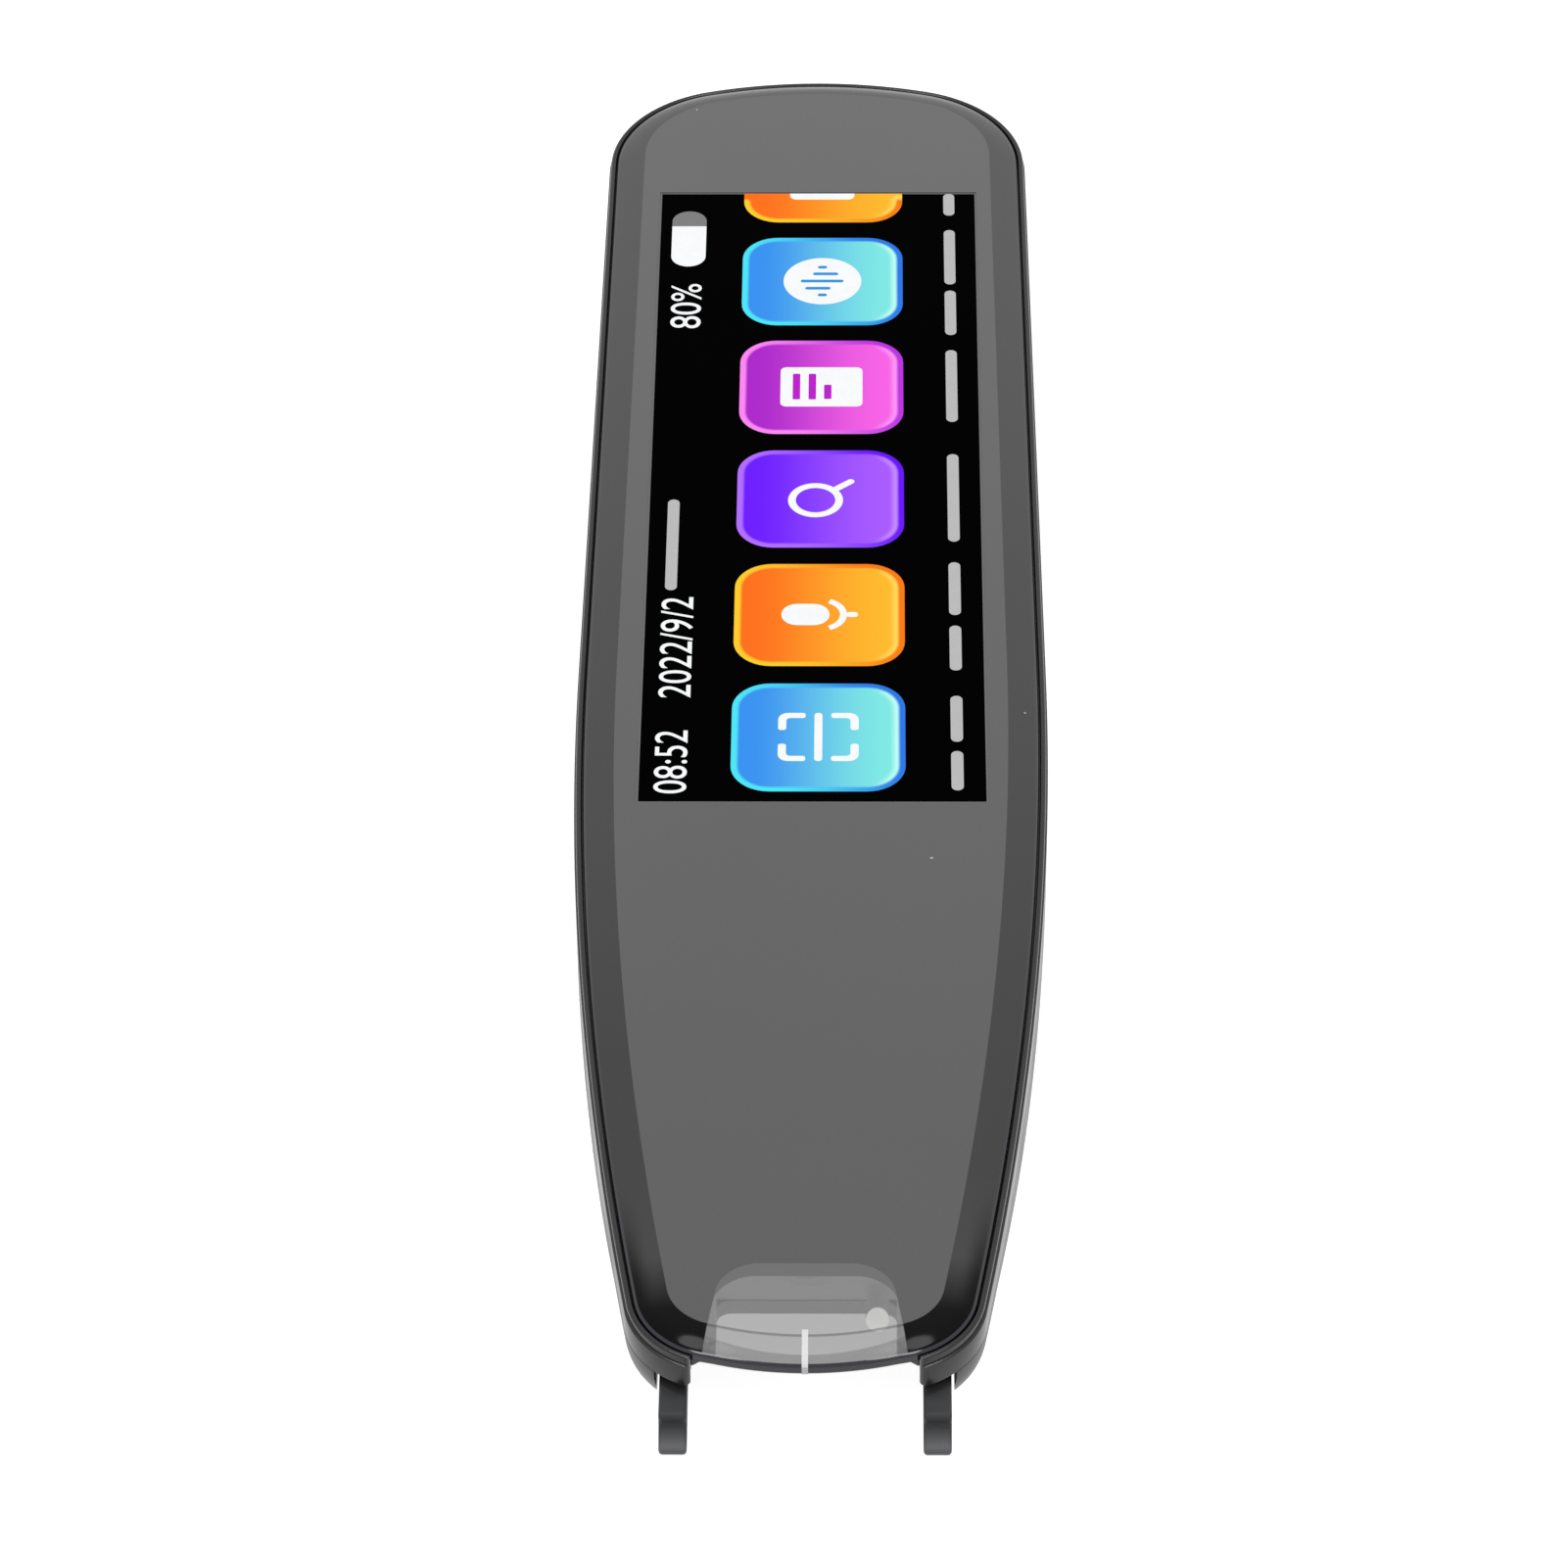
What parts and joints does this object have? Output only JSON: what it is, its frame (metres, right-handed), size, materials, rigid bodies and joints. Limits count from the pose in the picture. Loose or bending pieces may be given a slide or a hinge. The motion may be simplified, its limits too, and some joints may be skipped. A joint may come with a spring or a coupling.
{
  "type": "handheld translator",
  "caption": "Slim handheld scanning translator: flat-backed bar with a touch screen under one cover lens, an open scanning nose, sprung feet that press a switch, and a power key at the tail.",
  "frame": {"origin": "centre of the whole object's box, on the flat back it lies on", "axes": "+Z out of the screen, -Y out of the scanning nose, +Y towards the tail, +X to the right as the screen is seen with the nose towards the viewer"},
  "size_m": [0.0332, 0.1441, 0.0115],
  "materials": {
    "shell_plastic": "fine satin, moulded black",
    "frame_plastic": "satin black, rounded rim",
    "lens_glass": "clear, polished, slightly smoked",
    "mask_ink": "grey print behind the lens",
    "white_ink": "white print behind the lens",
    "adhesive": "black foam tape",
    "display_glass": "black, glossy, lit tiles",
    "foam": "grey foam",
    "flex_film": "amber polyimide",
    "circuit_board": "green solder mask",
    "chip_epoxy": "black moulding epoxy",
    "tin_plate": "tinned sheet",
    "steel": "plain steel",
    "antenna_copper": "copper film",
    "battery_foil": "laminated foil pouch",
    "white_tape": "double-sided tape",
    "wire_red": "wire insulation",
    "speaker_black": "black moulding",
    "camera_black": "black moulding",
    "optic": "coated lens in a black barrel",
    "led_clear": "clear domed LED",
    "shroud_grey": "grey matt moulding",
    "foot_plastic": "hard satin black",
    "key_plastic": "satin black"
  },
  "bodies": {
    "housing": {"back_cover": "shell_plastic", "mid_frame": "frame_plastic", "cover_lens": "lens_glass", "mask_film": "mask_ink", "alignment_mark": "white_ink", "lens_adhesive": "adhesive", "display_module": "display_glass", "display_foam": "foam", "display_flex": "flex_film", "main_board": "circuit_board", "processor_chip": "chip_epoxy", "memory_chip": "chip_epoxy", "shield_can": "tin_plate", "board_screws": "steel", "antenna": "antenna_copper", "microphone": "tin_plate", "usb_socket": "steel", "power_switch": "tin_plate", "battery": "battery_foil", "battery_tape": "white_tape", "battery_lead": "wire_red", "speaker": "speaker_black", "speaker_gasket": "foam", "camera_module": "camera_black", "camera_lens": "optic", "scan_board": "circuit_board", "scan_led": "led_clear", "scan_shroud": "shroud_grey", "scan_flex": "flex_film", "trigger_pins": "steel", "trigger_springs": "steel", "trigger_switch": "tin_plate", "housing_screws": "steel", "screw_plugs": "shell_plastic"},
    "trigger": {"trigger_yoke": "foot_plastic"},
    "trigger_contact": {"trigger_plunger": "chip_epoxy"},
    "key": {"power_key": "key_plastic"},
    "key_contact": {"power_plunger": "chip_epoxy"}
  },
  "joints": [
    {"name": "trigger_hinge", "type": "hinge", "parent": "housing", "child": "trigger", "pos_m": [0, -0.0548, 0.0062], "axis": [-1, 0, 0], "range_deg": [0, 3], "stiffness_Nm_per_rad": 0.36, "deforming": ["trigger_springs"]},
    {"name": "trigger_contact_slide", "type": "slide", "parent": "housing", "child": "trigger_contact", "axis": [0, 0, -1], "range_m": [0, 0.0003]},
    {"name": "key_slide", "type": "slide", "parent": "housing", "child": "key", "axis": [0, -1, 0], "range_m": [0, 0.0003], "stiffness_N_per_m": 3000},
    {"name": "key_contact_slide", "type": "slide", "parent": "housing", "child": "key_contact", "axis": [0, -1, 0], "range_m": [0, 0.0003]}
  ],
  "couplings": [
    {"joint": "trigger_contact_slide", "follows": "trigger_hinge", "m_per_rad": 0.0054},
    {"joint": "key_contact_slide", "follows": "key_slide", "ratio": 1}
  ]
}
